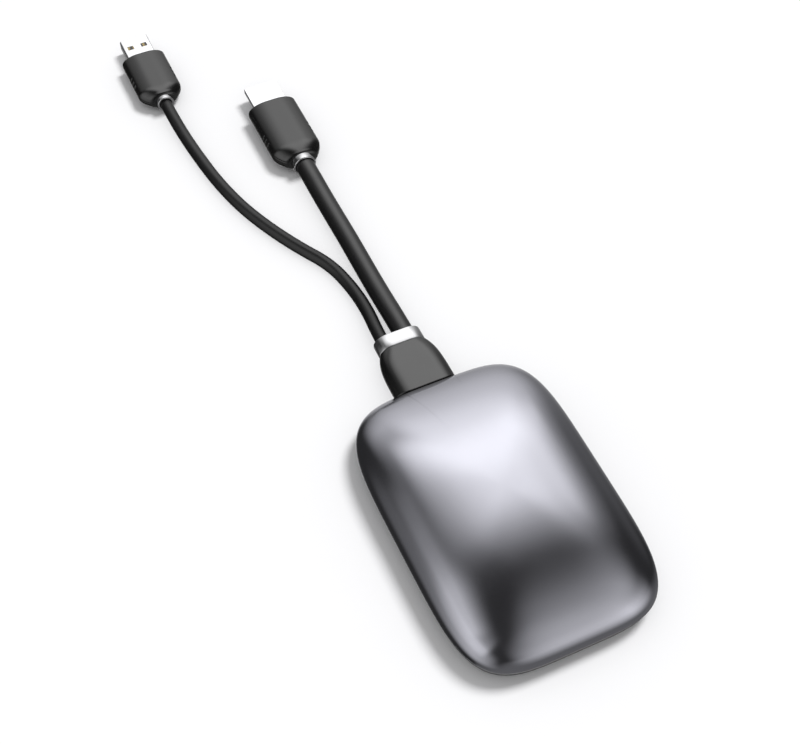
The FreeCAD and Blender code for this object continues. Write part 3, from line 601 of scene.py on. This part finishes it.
def cover_meshes(settings):
    """Cover: inner dome, rounded rim and outer dome as one closed surface, slotted at the back.

    The rows of each dome are spread along a sine over what is left between its rim and its top.
    """
    low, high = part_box("top_cover")
    angle, rim = slotted_rim(settings, high.x, high.y, low.z)
    edge = settings.rim_edge
    inner_rise = 1 - np.sin(np.linspace(0, np.pi / 2, INNER_ROWS))
    outer_rise = np.sin(np.linspace(0, np.pi / 2, OUTER_ROWS))
    domes = []
    for inset, rise in ((settings.wall, inner_rise), (0, outer_rise)):
        wide, long, top = high.x - inset, high.y - inset, high.z - inset
        start = foot_turn(rim + edge, low.z, top, settings)
        turn = start + (TOP_TURN - start) * rise[:, None]
        sections = dome_rows(turn, wide, long, low.z, top, settings)
        domes.append(outline_grid(angle, *sections, settings.outline_power))
    inner, outer = domes
    out = outer[0, :, :2] - inner[-1, :, :2]
    out /= np.linalg.norm(out, axis=-1, keepdims=True)
    bend = arc(RIM_START, 90, RIM_STEPS)
    rows = np.vstack([
        inner, rim_round(inner[-1], out, edge, bend), rim_round(outer[0], -out, edge, bend[::-1]), outer])
    shell = grid_surface(rows, (0, 0, high.z - settings.wall), (0, 0, high.z))
    return [shell] + cover_bosses(settings)


def cover_bosses(settings):
    """Screw bosses and press post that stand down from the cover's roof, as turned tubes and a pin.

    The springs keep their shape in every pose, so the bosses end above them by the cover's travel.
    """
    screws_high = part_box("shoulder_screws")[1]
    reach_x = screws_high.x - SCREW_HEAD
    reach_y = screws_high.y - SCREW_HEAD
    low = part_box("return_springs")[1].z + settings.travel + settings.boss_gap
    meshes = []
    for x in (-reach_x, reach_x):
        for y in (-reach_y, reach_y):
            roof = roof_level(x, y, settings)
            meshes.append(tube(BOSS_BORE, BOSS_RADIUS, low, roof, (x, y), BOSS_EDGE))
    plunger_low, plunger_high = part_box("switch_plunger")
    post_y = (plunger_low.y + plunger_high.y) / 2
    post_low = plunger_high.z + POST_GAP
    radii = (POST_RADIUS - POST_EDGE, POST_RADIUS, POST_RADIUS)
    heights = (post_low, post_low + POST_EDGE, roof_level(0, post_y, settings))
    meshes.append(turned(radii, heights, (0, post_y)))
    return meshes


def roof_level(x, y, settings):
    """Level inside the roof's thickness above a point."""
    low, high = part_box("top_cover")
    power = settings.outline_power
    scale = (abs(x / high.x) ** power + abs(y / high.y) ** power) ** (1 / power)
    share = (1 - scale ** settings.plan_power) ** (1 / settings.rise_power)
    return low.z + (high.z - low.z) * share - settings.wall * BURIED_SHARE


def ring_mesh(settings):
    """Light ring: a rounded section of insets and levels carried round the outline, open at the boot."""
    low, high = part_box("light_ring")
    neck_x = middle(*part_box("lead_boot"))[0]
    neck_half = bpy.context.scene.button_leads.boot_neck_width / 2 + RING_GAP
    first, last = np.arctan2(high.y, neck_x + np.array([-neck_half, neck_half]))
    angle = np.linspace(first, last + 2 * np.pi, RING_STEPS)
    inset, level = rounded_box(0, settings.ring_width, low.z, high.z, settings.ring_edge)
    grid = outline_grid(angle, high.x - inset, high.y - inset, level, settings.outline_power)
    return open_sweep(grid)


def feet_meshes(settings):
    """Rubber feet: discs with a rounded lower edge and one shallow groove round the middle."""
    low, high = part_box("rubber_feet")
    radius = settings.foot_radius
    bend = arc(-90, 0, EDGE_STEPS)
    groove = radius * np.array(FOOT_GROOVE)
    groove_top = low.z + FOOT_GROOVE_DEPTH
    edge_radii = radius - FOOT_EDGE + FOOT_EDGE * np.cos(bend)
    edge_levels = low.z + FOOT_EDGE + FOOT_EDGE * np.sin(bend)
    radii = (FOOT_MIDDLE, *groove, *edge_radii, radius, FOOT_MIDDLE)
    heights = (low.z, low.z, groove_top, groove_top, low.z, *edge_levels, high.z, high.z)
    meshes = []
    for x in (low.x + radius, high.x - radius):
        for y in (low.y + radius, high.y - radius):
            meshes.append(turned(radii, heights, (x, y)))
    return meshes


# Strain relief, collars and plugs

def eased(distance, radius):
    """Inset of a quarter round at a distance from its end."""
    near = np.clip(radius - distance, 0, radius)
    return radius - np.sqrt(radius ** 2 - near ** 2)


def mould_loop(half_width, half_height, reach, rise):
    """Rounded rectangles, one row each: four quarter ellipses joined by straight flats.

    A corner's points are its centre plus its reach across times the cosine and its rise times the
    sine of the turn, and points on a flat lie evenly between the ends of its two corners.
    """
    round_points = CORNER_STEPS + 1
    turn = (arc(0, 90, round_points) + arc(0, 270, 4)[:, None]).ravel()
    x = np.repeat([1, -1, -1, 1], round_points) * (half_width - reach) + reach * np.cos(turn)
    z = np.repeat([1, 1, -1, -1], round_points) * (half_height - rise) + rise * np.sin(turn)
    flat = CORNER_STEPS + np.arange(1, FLAT_STEPS) / FLAT_STEPS
    along = np.concatenate([np.arange(round_points), flat])
    place = (along + round_points * np.arange(4)[:, None]).ravel()
    before = np.floor(place).astype(int)
    after = (before + 1) % x.shape[-1]
    share = place - before
    return [side[:, before] * (1 - share) + side[:, after] * share for side in (x, z)]


def mould_grid(y, width, height, inset, corner, centre, spread=1.0):
    """Rounded rectangles across Y, one for each place, drawn in evenly by an inset.

    A corner reaches spread times as far across as it rises, and at most to near the middle.
    """
    y, width, height, inset, corner = (np.broadcast_to(value, np.shape(y))[:, None]
                                       for value in (y, width, height, inset, corner))
    reach = np.minimum(corner * spread, WIDEST_CORNER * width)
    x, z = mould_loop(width / 2 - inset, height / 2 - inset, reach - inset, corner - inset)
    return np.stack(np.broadcast_arrays(centre[0] + x, y, centre[1] + z), axis=-1)


def press_seam(grid, centre, settings):
    """Draws a fine moulding seam into both sides: the nearer to mid height, the deeper, in a V."""
    depth = settings.seam_depth * np.clip(1 - np.abs(grid[..., 2] - centre[1]) / settings.seam_width, 0, 1)
    grid[..., 0] -= np.sign(grid[..., 0] - centre[0]) * depth


def capped(grid, centre):
    """Closed surface from rows of sections, with a flat face at each end."""
    first, last = ((centre[0], row[0, 1], centre[1]) for row in (grid[0], grid[-1]))
    return grid_surface(grid, first, last)


def dome_retreat(level):
    """How far the cover's back stands in from its foot at each level."""
    settings = bpy.context.scene.button_casing
    low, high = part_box("top_cover")
    share = np.clip((level - low.z) / (high.z - low.z), 0, 1)
    return high.y * (1 - (1 - share ** settings.rise_power) ** (1 / settings.plan_power))


def boot_meshes(settings):
    """Strain relief: rounded sections whose width falls with a power of the way to the tip.

    Its root leans in to follow the dome, and past the tip it goes on as a thinner core inside the
    bright band.
    """
    low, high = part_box("lead_boot")
    band_low, band_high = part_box("boot_collar")
    centre = middle(band_low, band_high)
    root = settings.boot_root_y
    length = high.y - root
    ease = settings.seat_round * (1 - np.cos(arc(0, 90, EDGE_STEPS)))
    body = np.linspace(ease[-1], length - ease[-1], BOOT_ROWS)[1:-1]
    along = np.concatenate([ease, body, length - ease[::-1]])
    taper = (along / length) ** settings.boot_taper_power
    width = settings.boot_root_width + (band_high.x - band_low.x - settings.boot_root_width) * taper
    height = settings.boot_root_height + (band_high.z - band_low.z - settings.boot_root_height) * taper
    inset = eased(along, settings.seat_round) + eased(length - along, settings.seat_round)
    y = np.concatenate([root + along, [high.y, band_high.y - CORE_SETBACK]])
    width, height = (np.pad(size, (0, 2), mode="edge") for size in (width, height))
    inset = np.append(inset, [settings.band_wall, settings.band_wall])
    grid = mould_grid(y, width, height, inset, settings.edge_share * height, centre, settings.boot_spread)
    press_seam(grid, centre, settings)
    fade = np.clip(1 - (grid[..., 1] - root) / length, 0, 1) ** 2
    grid[..., 1] -= dome_retreat(grid[..., 2]) * fade
    return [capped(grid, centre), boot_neck(low, high, centre[0], settings)]


def boot_neck(low, high, neck_x, settings):
    """Neck in the casing's slot, with a wider flange behind the casing's wall: rounded sections."""
    centre = (neck_x, (NECK_LOW + settings.boot_neck_top) / 2)
    flange_end = low.y + FLANGE
    y = np.array([low.y, flange_end, flange_end, settings.boot_root_y + settings.seat_round])
    width = np.repeat([high.x - low.x, settings.boot_neck_width], 2)
    grid = mould_grid(y, width, settings.boot_neck_top - NECK_LOW, 0, NECK_EDGE, centre)
    return capped(grid, centre)


def band_mesh(settings):
    """Bright band: a rounded strip of wall carried round the strain relief's tip section."""
    low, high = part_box("boot_collar")
    height = high.z - low.z
    inset, y = rounded_box(0, settings.band_wall, low.y, high.y, BAND_EDGE)
    grid = mould_grid(y[:, 0], high.x - low.x, height, inset[:, 0], settings.edge_share * height,
                      middle(low, high), settings.boot_spread)
    return grid_surface(grid)


def collar_mesh(node, bore):
    """Bright ring: a tube with rounded rims round a lead."""
    low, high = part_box(node)
    radius = (high.x - low.x) / 2
    return tube(bore, radius, low.y, high.y, middle(low, high), COLLAR_EDGE, axis="Y")


def overmould(node, shoulder, rear_width, settings):
    """Plug body: rounded sections that swell along a sine from the narrow rear to full width.

    Grip grooves are drawn into both sides: their depth fades over a short slope, along the plug and
    towards its top and bottom.
    """
    low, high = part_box(node)
    centre = middle(low, high)
    full_width = high.x - low.x
    full_height = high.z - low.z
    length = high.y - low.y
    end = settings.end_round
    ends = end * (1 - np.cos(arc(0, 90, END_STEPS)))
    body = np.linspace(end, length - end, PLUG_ROWS)[1:-1]
    along = np.concatenate([ends, body, length - ends[::-1]])
    swell = np.sin(np.clip(along / shoulder, 0, 1) * np.pi / 2)
    width = rear_width + (full_width - rear_width) * swell
    height = full_height * (settings.rear_height + (1 - settings.rear_height) * swell)
    inset = eased(along, end) + eased(length - along, end)
    grid = mould_grid(low.y + along, width, height, inset, settings.edge_share * height, centre,
                      settings.plug_spread)
    press_seam(grid, centre, settings)
    beyond = along - shoulder - settings.grip_start
    nearest = np.clip(np.round(beyond / settings.grip_pitch), 0, GRIP_GROOVES - 1)
    gap = settings.grip_width / 2 - np.abs(beyond - nearest * settings.grip_pitch)
    groove = np.clip(0.5 + gap / GRIP_SLOPE, 0, 1)[:, None]
    window = np.clip(0.5 + (full_height / 4 - np.abs(grid[..., 2] - centre[1])) / GRIP_SLOPE, 0, 1)
    grid[..., 0] -= np.sign(grid[..., 0] - centre[0]) * settings.grip_depth * groove * window
    return capped(grid, centre)


def lead_curve(name, route, radius, material, node):
    """Free lead: a NURBS spline through its route's control points, with a round section."""
    curve = bpy.data.curves.new(name, "CURVE")
    curve.dimensions = "3D"
    curve.bevel_depth = radius
    curve.bevel_resolution = 10
    curve.resolution_u = 24
    curve.use_fill_caps = True
    spline = curve.splines.new("NURBS")
    spline.points.add(len(route) - 1)
    for point, place in zip(spline.points, route):
        point.co = (*place, 1.0)
    spline.order_u = 3
    spline.use_endpoint_u = True
    curve.materials.append(material)
    piece = bpy.data.objects.new(name, curve)
    piece.visible_shadow = False
    bpy.context.scene.collection.objects.link(piece)
    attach(piece, BASE)
    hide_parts(node)
    return piece


# Studio

def look_at(place, target):
    """Turn that faces a camera or lamp from its place to a target."""
    return (Vector(target) - Vector(place)).to_track_quat("-Z", "Y")


def direction(azimuth, elevation):
    """Unit vector: azimuth from +X towards +Y, elevation above the table, both in degrees."""
    flat = np.cos(np.radians(elevation))
    return Vector((flat * np.cos(np.radians(azimuth)), flat * np.sin(np.radians(azimuth)),
                   np.sin(np.radians(elevation))))


def maths(world, operation, *inputs):
    """Output of a maths node whose inputs are other nodes' outputs or plain numbers."""
    node = world.node_tree.nodes.new("ShaderNodeMath")
    node.operation = operation
    for socket, given in zip(node.inputs, inputs):
        if isinstance(given, bpy.types.NodeSocket):
            world.node_tree.links.new(given, socket)
        else:
            socket.default_value = given
    return node.outputs["Value"]


def reach_along(world, view, axis):
    """How far the view direction reaches along an axis."""
    node = world.node_tree.nodes.new("ShaderNodeVectorMath")
    node.operation = "DOT_PRODUCT"
    node.inputs[1].default_value = axis
    world.node_tree.links.new(view, node.inputs[0])
    return node.outputs["Value"]


def background(world, colour, strength):
    """Light of one colour and strength from all round."""
    node = world.node_tree.nodes.new("ShaderNodeBackground")
    node.inputs["Color"].default_value = (*colour, 1.0)
    node.inputs["Strength"].default_value = strength
    return node


def softbox_glow(world, view, azimuth, elevation, half_width, half_height, soft_across, soft_up):
    """Share of light from one softbox: a rectangle with soft edges, seen straight on from the object.

    The view direction over its part along the box's axis gives tangents across and up; each fades
    smoothly from one to nothing over twice the soft edge, centred on the half size. Behind the
    object, where the part along the axis is under a small value, there is no light.
    """
    forward = direction(azimuth, elevation)
    across = Vector((0, 0, 1)).cross(forward).normalized()
    up = forward.cross(across)
    ahead = reach_along(world, view, forward)
    share = maths(world, "GREATER_THAN", ahead, LEAST_AHEAD)
    for axis, half, soft in ((across, half_width, soft_across), (up, half_height, soft_up)):
        tangent = maths(world, "DIVIDE", reach_along(world, view, axis), ahead)
        fade = world.node_tree.nodes.new("ShaderNodeMapRange")
        fade.interpolation_type = "SMOOTHSTEP"
        fade.inputs["From Min"].default_value = half + soft
        fade.inputs["From Max"].default_value = half - soft
        world.node_tree.links.new(maths(world, "ABSOLUTE", tangent), fade.inputs["Value"])
        share = maths(world, "MULTIPLY", share, fade.outputs["Result"])
    return share


# Operators

class BUTTON_OT_stage(bpy.types.Operator):
    """Sets the camera, the floor, the lights and the backdrop"""
    bl_idname = "button.stage"
    bl_label = "Stage"

    def execute(self, context):
        studio = context.scene.button_studio
        scene = context.scene
        scene.view_settings.view_transform = "Standard"
        camera_data = bpy.data.cameras.new("camera")
        camera_data.lens = studio.lens
        camera_data.sensor_width = 36.0
        camera_data.sensor_fit = "HORIZONTAL"
        camera_data.clip_start = 0.01
        camera = bpy.data.objects.new("camera", camera_data)
        camera.location = studio.camera_place
        camera.rotation_mode = "QUATERNION"
        camera.rotation_quaternion = look_at(studio.camera_place, studio.camera_target)
        scene.collection.objects.link(camera)
        scene.camera = camera
        self.add_floor(studio)
        self.add_sun(studio)
        self.add_surroundings(scene, studio)
        return {"FINISHED"}

    def add_floor(self, studio):
        half = studio.floor_size / 2
        corners = [(-half, -half, 0), (half, -half, 0), (half, half, 0), (-half, half, 0)]
        mesh = bpy.data.meshes.new("floor")
        mesh.from_pydata(corners, [], [(0, 1, 2, 3)])
        material = new_material("floor_card", studio.floor_colour, 0.9, specular=0.1)
        grain = object_noise(material, 40 * MM)
        vary(material, grain, "Roughness", 0.85, 0.95)
        mesh.materials.append(material)
        floor = bpy.data.objects.new("floor", mesh)
        floor.visible_glossy = False
        bpy.context.scene.collection.objects.link(floor)

    def add_sun(self, studio):
        sun = bpy.data.lights.new("floor_light", "SUN")
        sun.energy = studio.sun_strength
        sun.angle = studio.sun_spread
        lamp = bpy.data.objects.new("floor_light", sun)
        lamp.rotation_mode = "QUATERNION"
        lamp.rotation_quaternion = look_at(direction(studio.sun_azimuth, studio.sun_elevation), (0, 0, 0))
        lamp.visible_glossy = False
        bpy.context.scene.collection.objects.link(lamp)

    def add_surroundings(self, scene, studio):
        """Softboxes round the object by direction, and a pale backdrop where the camera looks out.

        Each softbox is added to the sum of those before it, and the first to the ambient light.
        """
        world = bpy.data.worlds.new("studio")
        world.use_nodes = True
        nodes = world.node_tree.nodes
        links = world.node_tree.links
        view = nodes.new("ShaderNodeTexCoord").outputs["Generated"]
        total = studio.ambient
        for _name, *shape, radiance in SOFTBOXES:
            total = maths(world, "MULTIPLY_ADD", softbox_glow(world, view, *shape), radiance, total)
        glow = nodes["Background"]
        glow.inputs["Color"].default_value = (*WHITE, 1.0)
        links.new(total, glow.inputs["Strength"])
        even = background(world, WHITE, studio.even_light)
        pale = background(world, studio.backdrop_colour, studio.backdrop_light)
        path = nodes.new("ShaderNodeLightPath")
        shown = even.outputs["Background"]
        for ray, light in (("Is Glossy Ray", glow), ("Is Camera Ray", pale)):
            mix = nodes.new("ShaderNodeMixShader")
            links.new(path.outputs[ray], mix.inputs["Fac"])
            links.new(shown, mix.inputs[1])
            links.new(light.outputs["Background"], mix.inputs[2])
            shown = mix.outputs["Shader"]
        links.new(shown, nodes["World Output"].inputs["Surface"])
        scene.world = world


class BUTTON_OT_cover(bpy.types.Operator):
    """Builds the lacquered cover that is pressed"""
    bl_idname = "button.cover"
    bl_label = "Cover"

    def execute(self, context):
        settings = context.scene.button_casing
        cover = add_piece("press_cover", cover_meshes(settings), lacquer(settings), COVER,
                          ("top_cover",))
        even_out = cover.modifiers.new("even_normals", "WEIGHTED_NORMAL")
        even_out.keep_sharp = True
        return {"FINISHED"}


class BUTTON_OT_base(bpy.types.Operator):
    """Builds the light ring and the base tray with its feet"""
    bl_idname = "button.base"
    bl_label = "Base"

    def execute(self, context):
        settings = context.scene.button_casing
        add_piece("glow_ring", [ring_mesh(settings)], smoked_guide(settings), BASE,
                  ("light_ring",))
        tray = moulded_plastic("base_plastic", settings.base_colour, 0.5)
        add_refined_node("base_tray", "base_shell", tray, BASE)
        rubber = moulded_plastic("foot_rubber", (0.02, 0.02, 0.02), 0.75)
        add_piece("grip_feet", feet_meshes(settings), rubber, BASE, ("rubber_feet",))
        return {"FINISHED"}


class BUTTON_OT_boot(bpy.types.Operator):
    """Builds the strain relief, its bright band and the rings at the plugs"""
    bl_idname = "button.boot"
    bl_label = "Strain relief and rings"

    def execute(self, context):
        settings = context.scene.button_leads
        mould = moulded_plastic("boot_rubber", settings.mould_colour, 0.18, 0.88)
        bright = plated("collar_silver", settings.bright_colour, 0.16)
        boot = add_piece("strain_relief", boot_meshes(settings), mould, BASE, ("lead_boot",))
        band = add_piece("tip_band", [band_mesh(settings)], bright, BASE, ("boot_collar",))
        boot.visible_shadow = False
        band.visible_shadow = False
        for kind, bore in (("video", settings.video_radius), ("data", settings.data_radius)):
            node = kind + "_collar"
            add_piece(kind + "_ring", [collar_mesh(node, bore)], bright, BASE, (node,))
        return {"FINISHED"}


class BUTTON_OT_plugs(bpy.types.Operator):
    """Builds the plug bodies and their metal shells"""
    bl_idname = "button.plugs"
    bl_label = "Plugs"

    def execute(self, context):
        settings = context.scene.button_leads
        mould = moulded_plastic("plug_mould", settings.mould_colour, 0.18, 0.80)
        nickel = plated("shell_nickel", (0.80, 0.80, 0.82), 0.2, stretch=(1, 0.15, 1))
        bodies = (("video", settings.video_shoulder, settings.video_rear),
                  ("data", settings.data_shoulder, settings.data_rear))
        for kind, shoulder, rear in bodies:
            body = kind + "_plug_body"
            meshes = [overmould(body, shoulder, rear, settings)]
            add_piece(kind + "_overmould", meshes, mould, BASE, (body,))
            add_refined_node(kind + "_metal_shell", kind + "_plug_shell", nickel, BASE,
                             SHELL_EDGE)
        return {"FINISHED"}


class BUTTON_OT_leads(bpy.types.Operator):
    """Lays both leads along their routes"""
    bl_idname = "button.leads"
    bl_label = "Leads"

    def execute(self, context):
        settings = context.scene.button_leads
        thick_jacket = jacket(settings, "video_jacket", 0.30, 0.8)
        thin_jacket = jacket(settings, "data_jacket", 0.34, 0.5)
        thick = lead_curve("video_cable", VIDEO_ROUTE, settings.video_radius, thick_jacket, "video_lead")
        thin = lead_curve("data_cable", DATA_ROUTE, settings.data_radius, thin_jacket, "data_lead")
        return {"FINISHED"}


class BUTTON_OT_finishes(bpy.types.Operator):
    """Gives every other piece its finish"""
    bl_idname = "button.finishes"
    bl_label = "Finishes"

    def execute(self, context):
        coat_nodes(board_laminate(), BOARDS)
        for make, finishes in ((plated, METALS), (moulded_plastic, MOULDINGS)):
            for name, colour, roughness, nodes in finishes:
                coat_nodes(make(name, colour, roughness), nodes)
        return {"FINISHED"}


class BUTTON_PT_sidebar(bpy.types.Panel):
    """Sizes, colours and build steps of the presentation button"""
    bl_idname = "BUTTON_PT_sidebar"
    bl_label = "Presentation button"
    bl_space_type = "VIEW_3D"
    bl_region_type = "UI"
    bl_category = "Button"

    def draw(self, context):
        scene = context.scene
        for settings in (scene.button_studio, scene.button_leads, scene.button_casing):
            box = self.layout.box()
            for name in settings.__annotations__:
                box.prop(settings, name)
        for operator in OPERATORS:
            self.layout.operator(operator.bl_idname)


SETTINGS = (CasingSettings, LeadSettings, StudioSettings)
OPERATORS = (BUTTON_OT_stage, BUTTON_OT_boot, BUTTON_OT_plugs, BUTTON_OT_leads, BUTTON_OT_cover,
             BUTTON_OT_base, BUTTON_OT_finishes)


def register():
    for group in SETTINGS + OPERATORS + (BUTTON_PT_sidebar,):
        bpy.utils.register_class(group)
    bpy.types.Scene.button_casing = bpy.props.PointerProperty(type=CasingSettings)
    bpy.types.Scene.button_leads = bpy.props.PointerProperty(type=LeadSettings)
    bpy.types.Scene.button_studio = bpy.props.PointerProperty(type=StudioSettings)


def unregister():
    del bpy.types.Scene.button_casing
    del bpy.types.Scene.button_leads
    del bpy.types.Scene.button_studio
    for group in reversed(SETTINGS + OPERATORS + (BUTTON_PT_sidebar,)):
        bpy.utils.unregister_class(group)


def main():
    register()
    for operator in OPERATORS:
        name = operator.bl_idname.split(".")[1]
        getattr(bpy.ops.button, name)()


if __name__ == "__main__":
    main()
